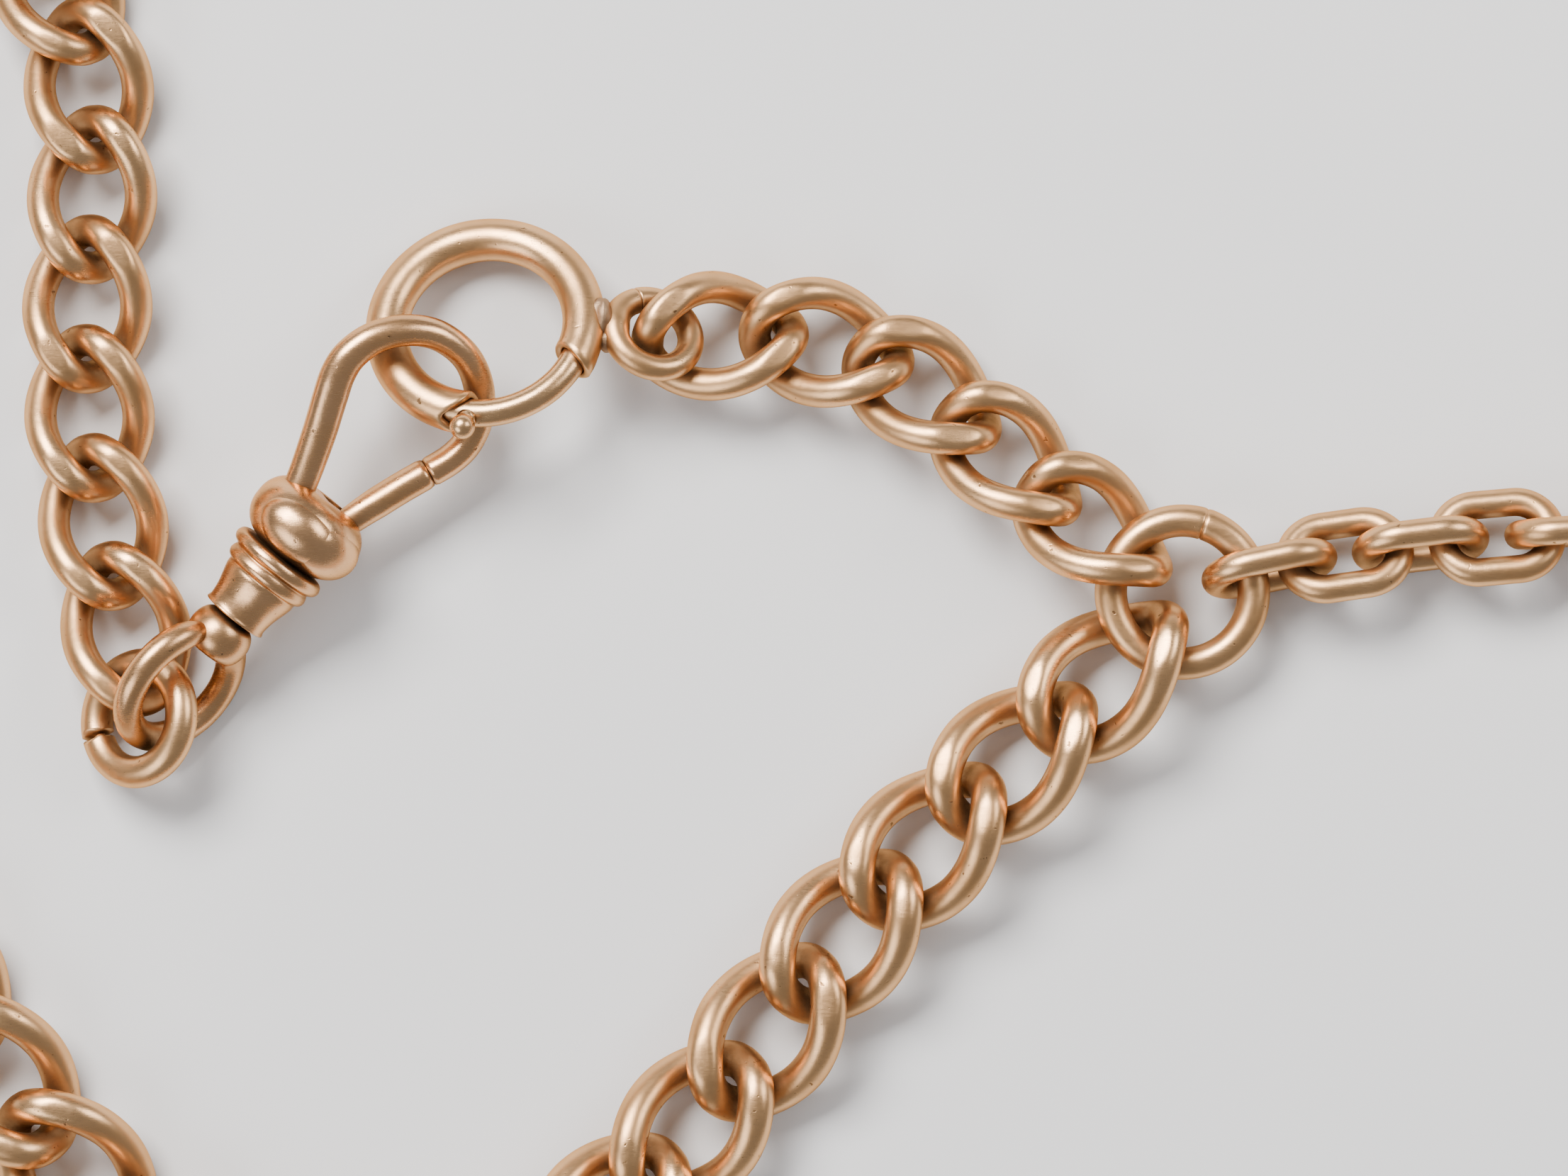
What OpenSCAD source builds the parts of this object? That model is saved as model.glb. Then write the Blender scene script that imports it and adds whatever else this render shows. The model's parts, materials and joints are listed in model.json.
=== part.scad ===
// Pocket watch chain (Albert chain) laid flat: a graduated curb chain that closes on itself, with a
// bolt ring on one end, a swivel clip on the other, and a short trace chain with a T-bar on the ring
// between them. Millimetres, +Z up, every link lying on the plane z = 0.

/* [Curb links] */
// Outer length of a full-size curb link
link_l = 9.9; // [9.5:0.05:10.4]
// Outer width of a full-size curb link before it is twisted
link_w = 7.2; // [7.1:0.05:7.6]
// Wire of a full-size curb link
wire_d = 1.8; // [1.6:0.02:1.84]
// Angle that each end of a link is twisted out of the flat, to lie flat in the chain
twist = 50; // [46:1:52]
// Fullness of the oval: 1 is an ellipse, less is squarer
fullness = 0.8; // [0.7:0.02:0.85]
// Play between two neighbouring links, along the chain
play = 0.26; // [0.2:0.02:0.4]
// Size of the links at both ends of the chain, against the full size
small_scale = 0.89; // [0.87:0.01:0.9]
// Links over which the long run tapers to the small size
taper_count = 6; // [4:1:8]

/* [Rings] */
// Wire of the centre ring
ring_wire = 1.6; // [1.5:0.05:1.7]
// Radius of the centre ring to the middle of its wire
ring_r = 3.5; // [3.4:0.05:3.6]
// Wire of the ring that joins the long run to the swivel clip
end_ring_wire = 1.6; // [1.5:0.05:1.65]
// Radius of that ring to the middle of its wire
end_ring_r = 2.65; // [2.6:0.05:2.75]

/* [Trace links and T-bar] */
// Outer length of a trace link
trace_l = 6.8; // [6.6:0.1:7]
// Outer width of a trace link
trace_w = 4.9; // [4.7:0.05:5]
// Wire of a trace link
trace_wire = 1.4; // [1.3:0.05:1.45]
// Length of the T-bar between the ends of its balls
tbar_l = 27; // [24:1:32]
// Ball on each end of the T-bar
tbar_ball_d = 3.4; // [3:0.1:3.8]

/* [Bolt ring] */
// Radius of the bolt ring to the middle of its tube
bolt_r = 4.85; // [4.8:0.05:5]
// Outer diameter of the tube
tube_d = 2.1; // [2:0.05:2.15]
// Wall of the tube
tube_wall = 0.3; // [0.25:0.01:0.32]
// Diameter of the sliding tongue
tongue_d = 1.36; // [1.3:0.02:1.4]

/* [Swivel clip] */
// Wire of the hook
hook_wire = 1.6; // [1.5:0.05:1.65]
// Radius of the hook's crown to the middle of its wire
crown_r = 3.45; // [3.4:0.05:3.55]
// Diameter of the round body between the hook and the collar
body_d = 5.6; // [5.4:0.1:5.6]
// Radius of the bow ring to the middle of its wire
bow_r = 3.1; // [3.05:0.05:3.2]
// Wire of the bow ring
bow_wire = 1.45; // [1.3:0.05:1.5]

/* [Hidden] */
$fn = 48;
gold = [0.80, 0.60, 0.40];
pale_gold = [0.84, 0.66, 0.46];
dark_gold = [0.62, 0.44, 0.28];
steel = [0.55, 0.55, 0.57];

// ---- Vectors and placing --------------------------------------------------------------------------
function unit(v) = v / norm(v);
function dir(a) = [cos(a), sin(a), 0];
function flat(p, z) = [p[0], p[1], z];
// Rotation that rolls about x, then lifts the nose of x, then turns about z
function turn(a) = [[cos(a), -sin(a), 0], [sin(a), cos(a), 0], [0, 0, 1]];
function lift(a) = [[cos(a), 0, -sin(a)], [0, 1, 0], [sin(a), 0, cos(a)]];
function roll(a) = [[1, 0, 0], [0, cos(a), -sin(a)], [0, sin(a), cos(a)]];
function pose(heading, nose, bank) = turn(heading) * lift(nose) * roll(bank);
module place(m, at) {
    multmatrix([for (i = [0:2]) [m[i][0], m[i][1], m[i][2], at[i]]])
        children();
}

// ---- Curb link ------------------------------------------------------------------------------------
rings = 24;
sides = 10;
// Point at angle t on the middle line of a link of size s
function full_sin(t) = sign(sin(t)) * pow(abs(sin(t)), fullness);
function oval_point(t, s) =
    let (a = s * (link_l - wire_d) / 2, b = s * (link_w - wire_d) / 2, bank = -twist * cos(t))
    [a * cos(t), b * full_sin(t) * cos(bank), b * full_sin(t) * sin(bank)];
function oval(s) = [for (i = [0:rings - 1]) oval_point(360 * i / rings, s)];
// Height at which a link of size s rests on the plane z = 0
function resting(s, nose, bank) =
    s * wire_d / 2 - min([for (t = [0:3:357]) (lift(nose) * roll(bank) * oval_point(t, s))[2]]);
// Closed wire of diameter d along a loop of points round the origin
module wire_loop(line, d) {
    n = len(line);
    rim = [for (i = [0:n - 1])
        let (p = line[i],
             along = unit(line[(i + 1) % n] - line[(i + n - 1) % n]),
             out = unit(p - along * (along * p)),
             side = cross(along, out))
        for (k = [0:sides - 1])
            p + d / 2 * (cos(360 * k / sides) * out + sin(360 * k / sides) * side)];
    skin = [for (i = [0:n - 1]) for (k = [0:sides - 1])
        let (j = (i + 1) % n, m = (k + 1) % sides)
        [i * sides + k, i * sides + m, j * sides + m, j * sides + k]];
    polyhedron(rim, skin, convexity = 8);
}
module curb_link(link) {
    color(gold)
        place(pose(link[1], link[3], link[4]), link[0])
            wire_loop(oval(link[2]), wire_d * link[2]);
}

// ---- Runs of curb links ---------------------------------------------------------------------------
// A link is [middle, heading, size, nose, bank]. Each one hangs in the one before it.
function reach(s) = s * (link_l - 2 * wire_d - play) / 2;
function first_reach(s, gap) = s * (link_l / 2 - wire_d) - ring_wire / 2 - gap;
function sum_to(list, n) = n < 0 ? 0 : list[n] + sum_to(list, n - 1);
centre = [27.47, 0.04];
centre_z = 2.75;
function walk(start, headings, sizes, noses, banks, heights, gap, i = 0) =
    i == len(headings) ? [] :
    let (along = dir(headings[i]),
         s = sizes[i],
         middle = start + along * (i == 0 ? first_reach(s, gap) : reach(s)),
         link = [flat(middle, heights[i]), headings[i], s, noses[i], banks[i]])
    concat([link],
        walk(middle + along * reach(s), headings, sizes, noses, banks, heights, gap, i + 1));
function ring_edge(a) = flat(centre, 0) + ring_r * dir(a);

// Upper run, from the centre ring to the bolt ring
upper_count = 5;
upper_headings = [145, 138.3, 144.2, 165, 185.2];
upper_noses = [0, 0, 0, 1.2, 11.3];
upper_banks = [29, 23.4, 18, 11.4, 7.8];
upper_lifts = [0.2, 0.1, 0, 0.01, 0.01];
upper = walk(ring_edge(142), upper_headings, [for (i = [1:upper_count]) small_scale],
    upper_noses, upper_banks,
    [for (i = [0:upper_count - 1])
        resting(small_scale, upper_noses[i], upper_banks[i]) + upper_lifts[i]], 0.22);

// Long run, from the centre ring round to the swivel clip: the bend at each joint
long_count = 34;
long_bends = [0, 0, 4, 4, 4, -5, -5, -16, -22, -23, -20, -12, -6, -2, -1, -1, -1, -2, -4, -7, -11,
    -16, -21, -24, -24, -24, -24, -24, -22, -10, 1, 6, 6, 4];
long_headings = [for (i = [0:long_count - 1]) 222 + sum_to(long_bends, i)];
taper_from = long_count - 15;
long_sizes = [for (i = [0:long_count - 1])
    max(small_scale, 1 - (1 - small_scale) * max(0, i - taper_from) / taper_count)];
long_banks = [for (i = [0:long_count - 1]) i == long_count - 1 ? -0.5 : max(0, 25 - 5 * i)];
long_noses = [for (i = [0:long_count - 1]) i == long_count - 1 ? 0.4 : 0];
long = walk(ring_edge(231.5), long_headings, long_sizes, long_noses, long_banks,
    [for (i = [0:long_count - 1]) resting(long_sizes[i], long_noses[i], long_banks[i])], 0.33);

// ---- Plain rings and oval trace links -------------------------------------------------------------
module torus(r, d) {
    rotate_extrude() translate([r, 0]) circle(d = d);
}
module centre_ring() {
    color(gold) translate(flat(centre, centre_z)) torus(ring_r, ring_wire);
}
trace_bend_r = (trace_w - trace_wire) / 2;
trace_straight = trace_l - trace_w;
module trace_oval() {
    for (side = [-1, 1]) {
        rotate([0, 0, side * 90])
            translate([0, -trace_straight / 2, 0])
                rotate([0, 0, 180])
                    rotate_extrude(angle = 180) translate([trace_bend_r, 0]) circle(d = trace_wire);
        translate([-trace_straight / 2, side * trace_bend_r, 0])
            rotate([0, 90, 0]) cylinder(d = trace_wire, h = trace_straight);
    }
}
trace_play = 0.24;
trace_pitch = trace_l - 2 * trace_wire - trace_play;
trace_count = 5;
trace_headings = [12, 8, 7, 5, 4];
trace_banks = [73.7, -29.1, 69.7, -19.7, 87.6];
trace_z = [2.7, 2.51, 2.36, 2.4, 2.45];
function trace_walk(start, i = 0) =
    i == trace_count ? [] :
    let (along = dir(trace_headings[i]),
         middle = start + along * (i == 0
             ? trace_l / 2 - trace_wire - ring_wire / 2 - 0.28 : trace_pitch / 2))
    concat([[flat(middle, trace_z[i]), trace_headings[i]]],
        trace_walk(middle + along * trace_pitch / 2, i + 1));
trace = trace_walk(ring_edge(16));
module trace_link(i) {
    color(gold)
        place(pose(trace[i][1], 0, trace_banks[i]), trace[i][0]) trace_oval();
}

// ---- T-bar ----------------------------------------------------------------------------------------
tbar_eye_r = 1.9;
tbar_eye_wire = 1.3;
tbar_mid_d = 2.6;
tbar_neck_d = 1.7;
tbar_heading = trace_headings[trace_count - 1];
tbar_z = 2.3;
tbar_hang = trace_l / 2 - trace_wire - tbar_eye_wire / 2 - 0.15 + tbar_eye_r;
tbar_eye_at = flat(trace[trace_count - 1][0] + dir(tbar_heading) * tbar_hang, tbar_z);
module t_bar() {
    color(gold)
        place(pose(tbar_heading, 0, 0), tbar_eye_at) {
            torus(tbar_eye_r, tbar_eye_wire);
            translate([tbar_eye_r + tbar_mid_d / 2 + 0.3, 0, 0])
                rotate([90, 0, 0]) tbar_turning();
        }
}
module tbar_turning() {
    half = tbar_l / 2;
    ball = half - tbar_ball_d / 2;
    rotate_extrude()
        polygon([[0, -ball], [tbar_neck_d / 2, -ball], [tbar_mid_d / 2, -2], [tbar_mid_d / 2, 2],
            [tbar_neck_d / 2, ball], [0, ball]]);
    for (side = [-1, 1])
        translate([0, 0, side * ball]) sphere(d = tbar_ball_d);
}

// ---- Bolt ring ------------------------------------------------------------------------------------
bolt_centre = [-6.63, 13.04, 3.41];
bolt_tilt = 28;
// Direction in which the ring rises off the table
bolt_rise = -78;
bolt_pose = turn(bolt_rise) * lift(bolt_tilt) * turn(-bolt_rise);
tube_from = -26;
tube_to = 258;
tongue_seat = 5;
tongue_hidden = 70;
tongue_travel = 60;
knob_at = 264;
module on_bolt_ring() {
    place(bolt_pose, bolt_centre) children();
}
module arc_rod(r, d, from, to) {
    rotate([0, 0, from])
        rotate_extrude(angle = to - from) translate([r, 0]) circle(d = d);
}
bore_stop = 185;
socket_from = 248;
module bolt_ring_tube() {
    bore_d = tube_d - 2 * tube_wall;
    color(gold) on_bolt_ring() difference() {
        arc_rod(bolt_r, tube_d, tube_from, tube_to);
        arc_rod(bolt_r, bore_d, tube_from - 1, bore_stop);
        arc_rod(bolt_r, bore_d, socket_from, tube_to + 1);
    }
}
module bolt_ring_tongue() {
    color(pale_gold) on_bolt_ring()
        arc_rod(bolt_r, tongue_d, tube_to - tongue_seat - 360, tube_from + tongue_hidden);
}
module bolt_ring_knob() {
    stem = 0.5;
    ball = 1.2;
    color(pale_gold) on_bolt_ring()
        rotate([0, 0, knob_at]) translate([bolt_r, 0, 0]) rotate([0, 25, 0]) {
            cylinder(d = 0.7, h = tongue_d / 2 + stem);
            translate([0, 0, tongue_d / 2 + stem + ball / 2 - 0.15]) sphere(d = ball);
        }
}
// Compressed coils of the spring, between the end of the pulled-back tongue and the stop in the tube
spring_coils = 13;
module bolt_ring_spring() {
    first = tube_from + tongue_hidden + tongue_travel + 3;
    color(steel) on_bolt_ring()
        for (i = [0:spring_coils - 1])
            rotate([0, 0, first + i * (bore_stop - 3 - first) / (spring_coils - 1)])
                translate([bolt_r, 0, 0]) rotate([90, 0, 0]) torus(0.5, 0.2);
}
// Eye soldered to the outside of the tube, drooping towards the last upper link
eye_r = 1.95;
eye_wire = 1.3;
eye_droop = 14.8;
eye_heading = -11.8;
eye_roll = -33.5;
eye_root = bolt_pose * [bolt_r + tube_d / 2 - 0.15, 0, 0] + bolt_centre;
module bolt_ring_eye() {
    color(gold)
        place(pose(eye_heading, -eye_droop, eye_roll), eye_root)
            translate([eye_r + eye_wire / 2, 0, 0]) torus(eye_r, eye_wire);
}

// ---- Ring between the long run and the swivel clip --------------------------------------------------
end_link = long[long_count - 1];
end_pose = pose(-84, 13, 33.5);
end_touch = end_link[0] + turn(end_link[1]) * lift(end_link[3]) * [reach(end_link[2]) - 0.83, 0, 0];
module end_ring() {
    color(gold)
        place(end_pose, end_touch + end_pose * [end_ring_r, 0, 0]) torus(end_ring_r, end_ring_wire);
}

// ---- Swivel clip ------------------------------------------------------------------------------------
// The clip's own x axis runs from the bow ring to the crown of the hook; its middle is the round body.
clip_at = [-15.87, 2.59, 3.93];
clip_heading = 51;
clip_nose = 3.7;
clip_bank = 25;
leg_angle = 15;
crown_at = 9.2;
leg_start = 1.2;
crown_cut = 8;
module on_clip() {
    place(pose(clip_heading, clip_nose, clip_bank), clip_at) children();
}
leg_end = [crown_at - crown_r * sin(leg_angle), crown_r * cos(leg_angle)];
leg_l = (leg_end[0] - leg_start) / cos(leg_angle);
module leg(side, length) {
    translate([leg_end[0], side * leg_end[1], 0])
        rotate([0, 0, side * leg_angle]) rotate([0, -90, 0]) cylinder(d = hook_wire, h = length);
}
gate_joint = 2.6;
module hook_frame() {
    color(gold) on_clip() {
        translate([crown_at, 0, 0])
            arc_rod(crown_r, hook_wire, -90 - leg_angle, 90 + leg_angle);
        leg(1, leg_l);
        leg(-1, gate_joint - 0.1);
    }
}
// The gate runs from its pin, inside the slot of the body, to the nose of the hook
gate_eye_d = 2;
gate_eye_t = 0.8;
gate_gap = 0.12;
function on_right_leg(back) =
    [leg_end[0] - back * cos(leg_angle), -leg_end[1] + back * sin(leg_angle), 0];
pin_d = 0.7;
pin_back = leg_l + 0.6;
pin_at = on_right_leg(pin_back);
gate_rod = pin_back - gate_joint - gate_gap - 2.2;
module gate() {
    color(pale_gold) on_clip()
        difference() {
            union() {
                translate(on_right_leg(gate_joint + gate_gap))
                    rotate([0, 0, -leg_angle]) rotate([0, -90, 0])
                        cylinder(d = hook_wire - 0.1, h = gate_rod);
                translate(on_right_leg(pin_back)) rotate([0, 0, -leg_angle])
                    translate([0, -0.7, -gate_eye_t / 2]) cube([2.6, 1.4, gate_eye_t]);
                translate(pin_at - [0, 0, gate_eye_t / 2]) cylinder(d = gate_eye_d, h = gate_eye_t);
            }
            translate(pin_at - [0, 0, 2]) cylinder(d = pin_d + 0.1, h = 4);
        }
}
module gate_pin() {
    color(dark_gold) on_clip()
        translate(pin_at - [0, 0, 1.75]) cylinder(d = pin_d, h = 3.5);
}
slot_w = 1.5;
body_l = 3.6;
module clip_body() {
    color(gold) on_clip()
        difference() {
            rotate([0, 90, 0])
                rotate_extrude() difference() {
                    translate([0, -body_l / 2]) square([body_d / 2, body_l]);
                    round_off(body_d / 2, body_l / 2, 1.7);
                    mirror([0, 1]) round_off(body_d / 2, body_l / 2, 1.7);
                }
            // Slot for the root of the gate and its spring
            translate([-0.65, -3.6, -slot_w / 2]) cube([4, 3.8, slot_w]);
            translate(pin_at - [0, 0, 1.75]) cylinder(d = pin_d, h = 3.5);
            // Seat of the left leg
            leg(1, leg_l);
            // Hollow for the head of the swivel rivet
            rotate([0, -90, 0]) cylinder(d = 2.6, h = 3);
        }
}
// What is cut from the corner [x, y] of a profile to round it to radius r
module round_off(x, y, r) {
    difference() {
        translate([x - r, y - r]) square([r + 1, r + 1]);
        translate([x - r, y - r]) circle(r = r);
    }
}
// Coil round the pin beside the gate's eye, with a leg along the blade
module gate_spring() {
    color(steel) on_clip()
        translate(pin_at + [0, 0, 0.57]) {
            torus(0.6, 0.2);
            rotate([0, 0, -leg_angle]) translate([0, 0.6, 0]) rotate([0, 90, 0])
                cylinder(d = 0.2, h = 1.5);
        }
}
// Collar: a flared cup with two ridges, a running fit on the shank of the rivet
collar_from = -body_l / 2 - 0.15;
cup_end = collar_from - 2.9;
shank_d = 1.5;
module swivel_collar() {
    color(gold) on_clip()
        rotate([0, 90, 0]) rotate([0, 0, 90])
            rotate_extrude()
                polygon([[shank_d / 2 + 0.06, collar_from], [2.3, collar_from],
                    [2.6, collar_from - 0.25], [2.6, collar_from - 0.6], [2.25, collar_from - 0.85],
                    [2.3, collar_from - 1.2], [2.15, collar_from - 1.5], [1.45, collar_from - 1.65],
                    [1.2, collar_from - 2.1], [1.3, cup_end + 0.45], [1.65, cup_end + 0.1],
                    [1.55, cup_end], [shank_d / 2 + 0.06, cup_end]]);
}
boss_l = 2;
boss_d = 3.2;
boss_at = cup_end - 0.12 - boss_l / 2;
module swivel_rivet() {
    color(dark_gold) on_clip() {
        rotate([0, 90, 0]) rotate([0, 0, 90])
            rotate_extrude() difference() {
                translate([0, boss_at - boss_l / 2]) square([boss_d / 2, boss_l]);
                translate([0, boss_at]) round_off(boss_d / 2, boss_l / 2, 0.8);
                translate([0, boss_at]) mirror([0, 1]) round_off(boss_d / 2, boss_l / 2, 0.8);
            }
        translate([boss_at, 0, 0]) rotate([0, 90, 0]) cylinder(d = shank_d, h = -0.6 - boss_at);
        translate([-1.3, 0, 0]) rotate([0, 90, 0]) cylinder(d = 2.3, h = 0.7);
    }
}
bow_at = boss_at - bow_r;
bow_bank = 31.8;
module bow_ring() {
    color(gold) on_clip()
        translate([bow_at, 0, 0]) rotate([bow_bank, 0, 0])
            arc_rod(bow_r, bow_wire, 22, 338);
}

// ---- Everything -------------------------------------------------------------------------------------
centre_ring();
for (i = [1:upper_count])
    curb_link(upper[i - 1]);
for (i = [1:long_count])
    curb_link(long[i - 1]);
for (i = [1:trace_count])
    trace_link(i - 1);
t_bar();
bolt_ring_tube();
bolt_ring_eye();
bolt_ring_tongue();
bolt_ring_knob();
bolt_ring_spring();
end_ring();
hook_frame();
clip_body();
swivel_collar();
swivel_rivet();
bow_ring();
gate();
gate_pin();
gate_spring();
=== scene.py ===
# %% [markdown]
# # A pocket watch chain in worn gold
# A gentleman's watch chain of the Albert kind lies on a table. Two runs of twisted curb links and a
# short trace chain hang on one plain ring. The long run ends in a swivel clip, the short run in a
# bolt ring, and the clip is hooked on the bolt ring.
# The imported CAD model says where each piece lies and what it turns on. Its links and rings are
# coarse, so this lesson gives each one a finer skin and the marks of a long life in a pocket.

# %% The frame
import json
import math
import random
import bpy
import numpy as np
from mathutils import Matrix, Vector, noise


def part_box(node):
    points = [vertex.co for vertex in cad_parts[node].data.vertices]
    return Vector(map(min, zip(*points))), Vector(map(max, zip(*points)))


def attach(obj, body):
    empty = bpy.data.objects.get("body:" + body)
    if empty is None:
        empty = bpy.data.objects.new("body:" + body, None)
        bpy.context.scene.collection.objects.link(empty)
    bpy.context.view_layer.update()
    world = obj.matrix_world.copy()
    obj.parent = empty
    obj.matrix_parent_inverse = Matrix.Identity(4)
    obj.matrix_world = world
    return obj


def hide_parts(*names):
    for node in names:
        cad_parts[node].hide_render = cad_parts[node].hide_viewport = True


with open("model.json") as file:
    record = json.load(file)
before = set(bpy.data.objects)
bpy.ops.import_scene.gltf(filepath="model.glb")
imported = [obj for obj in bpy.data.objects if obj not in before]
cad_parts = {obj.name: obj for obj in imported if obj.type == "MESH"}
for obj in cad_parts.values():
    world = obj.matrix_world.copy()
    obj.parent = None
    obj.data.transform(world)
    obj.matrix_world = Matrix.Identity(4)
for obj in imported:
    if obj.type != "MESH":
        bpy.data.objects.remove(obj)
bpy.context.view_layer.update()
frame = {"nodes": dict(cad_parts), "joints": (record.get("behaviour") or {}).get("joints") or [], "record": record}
joints = {j["name"]: j for j in frame["joints"]}
body_of = {n: b for b, ns in frame["record"]["behaviour"]["bodies"].items() for n in ns}
MM = 0.001

# %% [markdown]
# ## Table and camera
# A chain is looked at from straight above, as a jeweller lays it out. A long lens from well above
# keeps the rings round. The middle of the view is given from the centre ring, which the whole chain
# hangs on, so the camera follows the frame.

# %% Table, camera
ring_low, ring_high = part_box("centre_ring")
ring_middle = (ring_low + ring_high) / 2
view_middle = ring_middle - Vector((19.5 * MM, -0.2 * MM, 0))
VIEW_WIDTH = 76.9 * MM
CAMERA_HEIGHT = 420 * MM
CHAIN_MIDDLE_HEIGHT = 2 * MM

camera_data = bpy.data.cameras.new("overhead")
camera_data.sensor_width = 36
camera_data.lens = 36 * (CAMERA_HEIGHT - CHAIN_MIDDLE_HEIGHT) / VIEW_WIDTH
camera_data.clip_start = 0.01
camera = bpy.data.objects.new("overhead", camera_data)
camera.location = (view_middle.x, view_middle.y, CAMERA_HEIGHT)
bpy.context.scene.collection.objects.link(camera)
bpy.context.scene.camera = camera

bpy.ops.mesh.primitive_plane_add(size=3, location=(0, 0, 0))
table = bpy.context.object
table.name = "table"
print("lens", round(camera_data.lens), "mm, table", tuple(round(d, 2) for d in table.dimensions))


# %% [markdown]
# ## Soft studio light
# Polished metal shows its surroundings more than its own colour. A large soft lamp overhead gives
# each wire one broad highlight along its crest, a second one fills from the lower left, and a plain
# pale world stands for the walls. Small hard lamps would break the gold into sparks.

# %% Lamps and world
def soft_lamp(name, place, size, power, tint=(1, 1, 1)):
    data = bpy.data.lights.new(name, "AREA")
    data.shape = "RECTANGLE"
    data.size, data.size_y = size
    data.energy = power
    data.color = tint
    lamp = bpy.data.objects.new(name, data)
    lamp.location = Vector(place) + view_middle
    lamp.rotation_euler = (-Vector(place)).to_track_quat("-Z", "Y").to_euler()
    bpy.context.scene.collection.objects.link(lamp)


soft_lamp("window", (-0.35, 0.55, 0.75), (0.6, 0.42), 21, (1, 0.985, 0.96))
soft_lamp("fill", (-0.5, -0.35, 0.5), (0.5, 0.4), 2.4, (0.97, 0.98, 1))
soft_lamp("back", (0.6, 0.3, 0.5), (0.35, 0.35), 2.6, (1, 0.99, 0.97))
world = bpy.data.worlds.new("walls")
bpy.context.scene.world = world
world.use_nodes = True
world.node_tree.nodes["Background"].inputs["Color"].default_value = (0.93, 0.94, 0.96, 1)
world.node_tree.nodes["Background"].inputs["Strength"].default_value = 0.30


# %% [markdown]
# ## Worn gold
# Nine-carat gold is pinkish, and its copper darkens where nothing rubs it: in the crook of each link
# and in the grooves of the clip. Where links rub it stays bright. So the material is one metal whose
# colour and gloss are mixed by how closed in each spot is, with a slow cloud of handling marks, a
# fine satin of scratches and a few dark pits. The crevice mask comes from ambient occlusion, which
# needs no painting and works on every piece alike.

# %% Helpers for materials
def new_material(name):
    made = bpy.data.materials.new(name)
    made.use_nodes = True
    return made, made.node_tree.nodes, made.node_tree.links


def add(nodes, kind, **values):
    made = nodes.new(kind)
    for key, value in values.items():
        if hasattr(made, key):
            setattr(made, key, value)
        else:
            made.inputs[key.replace("_", " ")].default_value = value
    return made


def stretch(nodes, links, source, low, high, to_low=0.0, to_high=1.0):
    made = nodes.new("ShaderNodeMapRange")
    for place, value in ((1, low), (2, high), (3, to_low), (4, to_high)):
        made.inputs[place].default_value = value
    links.new(source, made.inputs[0])
    return made.outputs[0]


def times(nodes, links, a, b):
    made = nodes.new("ShaderNodeMath")
    made.operation = "MULTIPLY"
    links.new(a, made.inputs[0])
    if isinstance(b, float):
        made.inputs[1].default_value = b
    else:
        links.new(b, made.inputs[1])
    return made.outputs[0]


def blend_colour(nodes, links, factor, a, b, mode="MIX"):
    made = nodes.new("ShaderNodeMix")
    made.data_type = "RGBA"
    made.blend_type = mode
    links.new(factor, made.inputs["Factor"])
    for socket, value in (("A", a), ("B", b)):
        target = [s for s in made.inputs if s.name == socket and s.type == "RGBA"][0]
        if isinstance(value, tuple):
            target.default_value = value
        else:
            links.new(value, target)
    return [s for s in made.outputs if s.type == "RGBA"][0]


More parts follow.
